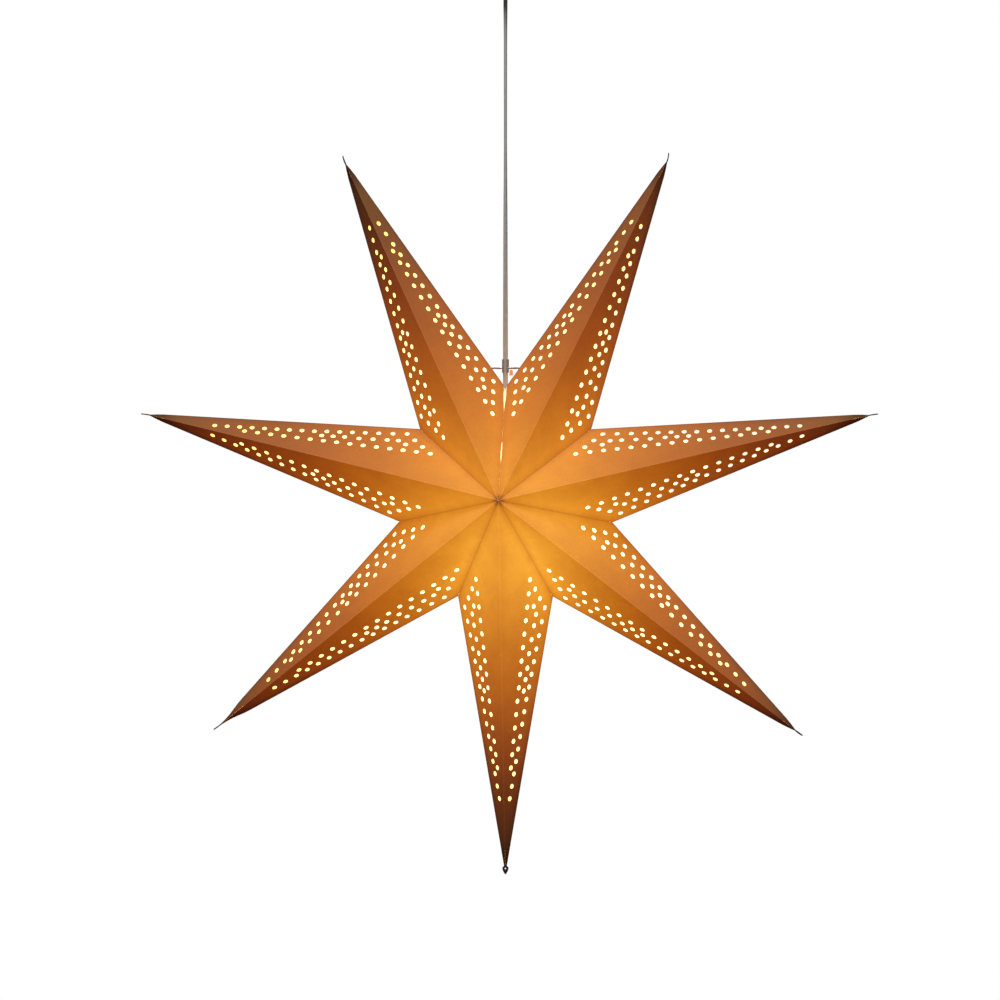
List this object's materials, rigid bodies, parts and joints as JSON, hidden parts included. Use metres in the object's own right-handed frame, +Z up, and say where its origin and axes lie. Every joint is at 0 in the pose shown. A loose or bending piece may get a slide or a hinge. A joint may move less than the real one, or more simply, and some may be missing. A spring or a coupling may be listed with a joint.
{
  "type": "paper star lantern",
  "caption": "Folded paper star lantern with punched points, lit from inside and hung on its cord from a ceiling cup; the seam fans open to reach the lamp.",
  "frame": {"origin": "middle of the face of the ceiling plate that sits on the ceiling", "axes": "+Z up into the ceiling, +X to the right across the star as seen from its front, +Y along the star's axis towards its back; the front faces -Y"},
  "size_m": [0.7802, 0.1688, 0.982],
  "materials": {
    "star_paper": "uncoated",
    "tab_paper": "uncoated",
    "cord": "satin",
    "clear_plastic": "translucent",
    "white_plastic": "satin",
    "holder_core": "matt",
    "steel": "drawn wire",
    "brass": "bright",
    "nickel": "bright",
    "black_glass": "gloss",
    "led_board": "white coated",
    "opal": "opal"
  },
  "bodies": {
    "ceiling_fitting": {"ceiling_plate": "steel", "canopy_cup": "white_plastic", "cord_gland": "white_plastic", "gland_nut": "white_plastic", "terminal_block": "clear_plastic", "cord_tail": "cord"},
    "guide_ring": {"guide_ring": "clear_plastic"},
    "hanging_cord": {"pendant_cord": "cord"},
    "lamp_holder": {"cord_clamp": "clear_plastic", "hanger_wire": "steel", "cord_grip": "holder_core", "holder_dome": "white_plastic", "holder_shell": "white_plastic", "holder_core": "holder_core", "screw_shell": "brass", "centre_contact": "brass"},
    "lamp_lift": {"lamp_contact": "nickel"},
    "lamp": {"lamp_cap": "nickel", "lamp_insulator": "black_glass", "lamp_collar": "white_plastic", "led_board": "led_board", "lamp_globe": "opal"},
    "point_1": {"tip_tab_1": "tab_paper"},
    "point_2": {"tip_tab_2": "tab_paper"},
    "point_3": {"tip_tab_3": "tab_paper"},
    "point_4": {"tip_tab_4": "tab_paper"},
    "point_5": {"tip_tab_5": "tab_paper"},
    "point_6": {"tip_tab_6": "tab_paper"},
    "point_7": {"tip_tab_7": "tab_paper"},
    "facet_1_front_a": {"facet_1_front_a": "star_paper"},
    "facet_1_front_b": {"facet_1_front_b": "star_paper"},
    "facet_1_back_a": {"facet_1_back_a": "star_paper", "seam_flap": "star_paper"},
    "facet_1_back_b": {"facet_1_back_b": "star_paper"},
    "facet_2_front_a": {"facet_2_front_a": "star_paper"},
    "facet_2_front_b": {"facet_2_front_b": "star_paper"},
    "facet_2_back_a": {"facet_2_back_a": "star_paper"},
    "facet_2_back_b": {"facet_2_back_b": "star_paper"},
    "facet_3_front_a": {"facet_3_front_a": "star_paper"},
    "facet_3_front_b": {"facet_3_front_b": "star_paper"},
    "facet_3_back_a": {"facet_3_back_a": "star_paper"},
    "facet_3_back_b": {"facet_3_back_b": "star_paper"},
    "facet_4_front_a": {"facet_4_front_a": "star_paper"},
    "facet_4_front_b": {"facet_4_front_b": "star_paper"},
    "facet_4_back_a": {"facet_4_back_a": "star_paper"},
    "facet_4_back_b": {"facet_4_back_b": "star_paper"},
    "facet_5_front_a": {"facet_5_front_a": "star_paper"},
    "facet_5_front_b": {"facet_5_front_b": "star_paper"},
    "facet_5_back_a": {"facet_5_back_a": "star_paper"},
    "facet_5_back_b": {"facet_5_back_b": "star_paper"},
    "facet_6_front_a": {"facet_6_front_a": "star_paper"},
    "facet_6_front_b": {"facet_6_front_b": "star_paper"},
    "facet_6_back_a": {"facet_6_back_a": "star_paper"},
    "facet_6_back_b": {"facet_6_back_b": "star_paper"},
    "facet_7_front_a": {"facet_7_front_a": "star_paper"},
    "facet_7_front_b": {"facet_7_front_b": "star_paper"},
    "facet_7_back_a": {"facet_7_back_a": "star_paper"},
    "facet_7_back_b": {"facet_7_back_b": "star_paper"}
  },
  "joints": [
    {"name": "sway_front_back", "type": "hinge", "parent": "ceiling_fitting", "child": "guide_ring", "pos_m": [0, 0, -0.0382], "axis": [1, 0, 0], "range_deg": [-12, 12]},
    {"name": "sway_side_to_side", "type": "hinge", "parent": "guide_ring", "child": "hanging_cord", "pos_m": [0, 0, -0.0382], "axis": [0, 1, 0], "range_deg": [-12, 12]},
    {"name": "star_spin", "type": "hinge", "parent": "hanging_cord", "child": "lamp_holder", "pos_m": [0, 0, -0.5343], "axis": [0, 0, 1], "range_deg": [-180, 180]},
    {"name": "star_tilt", "type": "hinge", "parent": "lamp_holder", "child": "point_4", "pos_m": [0, 0, -0.4456], "axis": [1, 0, 0], "range_deg": [-3, 3]},
    {"name": "lamp_travel", "type": "slide", "parent": "lamp_holder", "child": "lamp_lift", "axis": [0, 0, -1], "range_m": [0, 0.017]},
    {"name": "lamp_unscrew", "type": "hinge", "parent": "lamp_lift", "child": "lamp", "pos_m": [0, 0, -0.59], "axis": [0, 0, -1], "range_deg": [0, 2160]},
    {"name": "seam_opening", "type": "hinge", "parent": "point_4", "child": "point_1", "pos_m": [0, 0, -0.582], "axis": [0, 1, 0], "range_deg": [0, 25.71]},
    {"name": "point_2_fan", "type": "hinge", "parent": "point_4", "child": "point_2", "pos_m": [0, 0, -0.582], "axis": [0, 1, 0], "range_deg": [0, 17.15]},
    {"name": "point_3_fan", "type": "hinge", "parent": "point_4", "child": "point_3", "pos_m": [0, 0, -0.582], "axis": [0, 1, 0], "range_deg": [0, 8.58]},
    {"name": "point_5_fan", "type": "hinge", "parent": "point_4", "child": "point_5", "pos_m": [0, 0, -0.582], "axis": [0, -1, 0], "range_deg": [0, 8.58]},
    {"name": "point_6_fan", "type": "hinge", "parent": "point_4", "child": "point_6", "pos_m": [0, 0, -0.582], "axis": [0, -1, 0], "range_deg": [0, 17.15]},
    {"name": "point_7_fan", "type": "hinge", "parent": "point_4", "child": "point_7", "pos_m": [0, 0, -0.582], "axis": [0, -1, 0], "range_deg": [0, 25.72]},
    {"name": "facet_1_front_a_fold", "type": "hinge", "parent": "point_1", "child": "facet_1_front_a", "pos_m": [0.04267, -0.04902, -0.40963], "axis": [-0.5583, -0.2088, -0.8029], "range_deg": [0, 9.38]},
    {"name": "facet_1_front_b_fold", "type": "hinge", "parent": "point_1", "child": "facet_1_front_b", "pos_m": [0.10816, -0.04902, -0.44116], "axis": [0.2797, 0.2088, 0.9371], "range_deg": [0, 9.38]},
    {"name": "facet_1_back_a_fold", "type": "hinge", "parent": "point_1", "child": "facet_1_back_a", "pos_m": [0.04267, 0.04902, -0.40963], "axis": [0.5583, -0.2088, 0.8029], "range_deg": [0, 9.38]},
    {"name": "facet_1_back_b_fold", "type": "hinge", "parent": "point_1", "child": "facet_1_back_b", "pos_m": [0.10816, 0.04902, -0.44116], "axis": [-0.2797, 0.2088, -0.9371], "range_deg": [0, 9.38]},
    {"name": "facet_2_front_a_fold", "type": "hinge", "parent": "point_2", "child": "facet_2_front_a", "pos_m": [0.16137, -0.04902, -0.50789], "axis": [-0.9758, -0.2088, -0.0641], "range_deg": [0, 9.38]},
    {"name": "facet_2_front_b_fold", "type": "hinge", "parent": "point_2", "child": "facet_2_front_b", "pos_m": [0.17755, -0.04902, -0.57875], "axis": [0.907, 0.2088, 0.3656], "range_deg": [0, 9.38]},
    {"name": "facet_2_back_a_fold", "type": "hinge", "parent": "point_2", "child": "facet_2_back_a", "pos_m": [0.16137, 0.04902, -0.50789], "axis": [0.9758, -0.2088, 0.0641], "range_deg": [0, 9.38]},
    {"name": "facet_2_back_b_fold", "type": "hinge", "parent": "point_2", "child": "facet_2_back_b", "pos_m": [0.17755, 0.04902, -0.57875], "axis": [-0.907, 0.2088, -0.3656], "range_deg": [0, 9.38]},
    {"name": "facet_3_front_a_fold", "type": "hinge", "parent": "point_3", "child": "facet_3_front_a", "pos_m": [0.15856, -0.04902, -0.66196], "axis": [-0.6586, -0.2088, 0.723], "range_deg": [0, 9.38]},
    {"name": "facet_3_front_b_fold", "type": "hinge", "parent": "point_3", "child": "facet_3_front_b", "pos_m": [0.11324, -0.04902, -0.71879], "axis": [0.8514, 0.2088, -0.4812], "range_deg": [0, 9.38]},
    {"name": "facet_3_back_a_fold", "type": "hinge", "parent": "point_3", "child": "facet_3_back_a", "pos_m": [0.15856, 0.04902, -0.66196], "axis": [0.6586, -0.2088, -0.723], "range_deg": [0, 9.38]},
    {"name": "facet_3_back_b_fold", "type": "hinge", "parent": "point_3", "child": "facet_3_back_b", "pos_m": [0.11324, 0.04902, -0.71879], "axis": [-0.8514, 0.2088, 0.4812], "range_deg": [0, 9.38]},
    {"name": "facet_4_front_a_fold", "type": "hinge", "parent": "point_4", "child": "facet_4_front_a", "pos_m": [0.03634, -0.04902, -0.75582], "axis": [0.1546, -0.2088, 0.9657], "range_deg": [0, 9.38]},
    {"name": "facet_4_front_b_fold", "type": "hinge", "parent": "point_4", "child": "facet_4_front_b", "pos_m": [-0.03634, -0.04902, -0.75582], "axis": [0.1546, 0.2088, -0.9657], "range_deg": [0, 9.38]},
    {"name": "facet_4_back_a_fold", "type": "hinge", "parent": "point_4", "child": "facet_4_back_a", "pos_m": [0.03634, 0.04902, -0.75582], "axis": [-0.1546, -0.2088, -0.9657], "range_deg": [0, 9.38]},
    {"name": "facet_4_back_b_fold", "type": "hinge", "parent": "point_4", "child": "facet_4_back_b", "pos_m": [-0.03634, 0.04902, -0.75582], "axis": [-0.1546, 0.2088, 0.9657], "range_deg": [0, 9.38]},
    {"name": "facet_5_front_a_fold", "type": "hinge", "parent": "point_5", "child": "facet_5_front_a", "pos_m": [-0.11324, -0.04902, -0.71879], "axis": [0.8514, -0.2088, 0.4812], "range_deg": [0, 9.38]},
    {"name": "facet_5_front_b_fold", "type": "hinge", "parent": "point_5", "child": "facet_5_front_b", "pos_m": [-0.15856, -0.04902, -0.66196], "axis": [-0.6586, 0.2088, -0.723], "range_deg": [0, 9.38]},
    {"name": "facet_5_back_a_fold", "type": "hinge", "parent": "point_5", "child": "facet_5_back_a", "pos_m": [-0.11324, 0.04902, -0.71879], "axis": [-0.8514, -0.2088, -0.4812], "range_deg": [0, 9.38]},
    {"name": "facet_5_back_b_fold", "type": "hinge", "parent": "point_5", "child": "facet_5_back_b", "pos_m": [-0.15856, 0.04902, -0.66196], "axis": [0.6586, 0.2088, 0.723], "range_deg": [0, 9.38]},
    {"name": "facet_6_front_a_fold", "type": "hinge", "parent": "point_6", "child": "facet_6_front_a", "pos_m": [-0.17755, -0.04902, -0.57875], "axis": [0.907, -0.2088, -0.3656], "range_deg": [0, 9.38]},
    {"name": "facet_6_front_b_fold", "type": "hinge", "parent": "point_6", "child": "facet_6_front_b", "pos_m": [-0.16137, -0.04902, -0.50789], "axis": [-0.9758, 0.2088, 0.0641], "range_deg": [0, 9.38]},
    {"name": "facet_6_back_a_fold", "type": "hinge", "parent": "point_6", "child": "facet_6_back_a", "pos_m": [-0.17755, 0.04902, -0.57875], "axis": [-0.907, -0.2088, 0.3656], "range_deg": [0, 9.38]},
    {"name": "facet_6_back_b_fold", "type": "hinge", "parent": "point_6", "child": "facet_6_back_b", "pos_m": [-0.16137, 0.04902, -0.50789], "axis": [0.9758, 0.2088, -0.0641], "range_deg": [0, 9.38]},
    {"name": "facet_7_front_a_fold", "type": "hinge", "parent": "point_7", "child": "facet_7_front_a", "pos_m": [-0.10816, -0.04902, -0.44116], "axis": [0.2797, -0.2088, -0.9371], "range_deg": [0, 9.38]},
    {"name": "facet_7_front_b_fold", "type": "hinge", "parent": "point_7", "child": "facet_7_front_b", "pos_m": [-0.04267, -0.04902, -0.40963], "axis": [-0.5583, 0.2088, 0.8029], "range_deg": [0, 9.38]},
    {"name": "facet_7_back_a_fold", "type": "hinge", "parent": "point_7", "child": "facet_7_back_a", "pos_m": [-0.10816, 0.04902, -0.44116], "axis": [-0.2797, -0.2088, 0.9371], "range_deg": [0, 9.38]},
    {"name": "facet_7_back_b_fold", "type": "hinge", "parent": "point_7", "child": "facet_7_back_b", "pos_m": [-0.04267, 0.04902, -0.40963], "axis": [0.5583, 0.2088, -0.8029], "range_deg": [0, 9.38]}
  ],
  "couplings": [
    {"joint": "lamp_travel", "follows": "lamp_unscrew", "m_per_rad": 0.00044882},
    {"joint": "point_2_fan", "follows": "seam_opening", "ratio": 0.66667},
    {"joint": "point_3_fan", "follows": "seam_opening", "ratio": 0.33333},
    {"joint": "point_5_fan", "follows": "seam_opening", "ratio": 0.33333},
    {"joint": "point_6_fan", "follows": "seam_opening", "ratio": 0.66667},
    {"joint": "point_7_fan", "follows": "seam_opening", "ratio": 1},
    {"joint": "facet_1_front_a_fold", "follows": "seam_opening", "ratio": 0.36439},
    {"joint": "facet_1_front_b_fold", "follows": "seam_opening", "ratio": 0.36439},
    {"joint": "facet_1_back_a_fold", "follows": "seam_opening", "ratio": 0.36439},
    {"joint": "facet_1_back_b_fold", "follows": "seam_opening", "ratio": 0.36439},
    {"joint": "facet_2_front_a_fold", "follows": "seam_opening", "ratio": 0.36439},
    {"joint": "facet_2_front_b_fold", "follows": "seam_opening", "ratio": 0.36439},
    {"joint": "facet_2_back_a_fold", "follows": "seam_opening", "ratio": 0.36439},
    {"joint": "facet_2_back_b_fold", "follows": "seam_opening", "ratio": 0.36439},
    {"joint": "facet_3_front_a_fold", "follows": "seam_opening", "ratio": 0.36439},
    {"joint": "facet_3_front_b_fold", "follows": "seam_opening", "ratio": 0.36439},
    {"joint": "facet_3_back_a_fold", "follows": "seam_opening", "ratio": 0.36439},
    {"joint": "facet_3_back_b_fold", "follows": "seam_opening", "ratio": 0.36439},
    {"joint": "facet_4_front_a_fold", "follows": "seam_opening", "ratio": 0.36439},
    {"joint": "facet_4_front_b_fold", "follows": "seam_opening", "ratio": 0.36439},
    {"joint": "facet_4_back_a_fold", "follows": "seam_opening", "ratio": 0.36439},
    {"joint": "facet_4_back_b_fold", "follows": "seam_opening", "ratio": 0.36439},
    {"joint": "facet_5_front_a_fold", "follows": "seam_opening", "ratio": 0.36439},
    {"joint": "facet_5_front_b_fold", "follows": "seam_opening", "ratio": 0.36439},
    {"joint": "facet_5_back_a_fold", "follows": "seam_opening", "ratio": 0.36439},
    {"joint": "facet_5_back_b_fold", "follows": "seam_opening", "ratio": 0.36439},
    {"joint": "facet_6_front_a_fold", "follows": "seam_opening", "ratio": 0.36439},
    {"joint": "facet_6_front_b_fold", "follows": "seam_opening", "ratio": 0.36439},
    {"joint": "facet_6_back_a_fold", "follows": "seam_opening", "ratio": 0.36439},
    {"joint": "facet_6_back_b_fold", "follows": "seam_opening", "ratio": 0.36439},
    {"joint": "facet_7_front_a_fold", "follows": "seam_opening", "ratio": 0.36439},
    {"joint": "facet_7_front_b_fold", "follows": "seam_opening", "ratio": 0.36439},
    {"joint": "facet_7_back_a_fold", "follows": "seam_opening", "ratio": 0.36439},
    {"joint": "facet_7_back_b_fold", "follows": "seam_opening", "ratio": 0.36439}
  ]
}
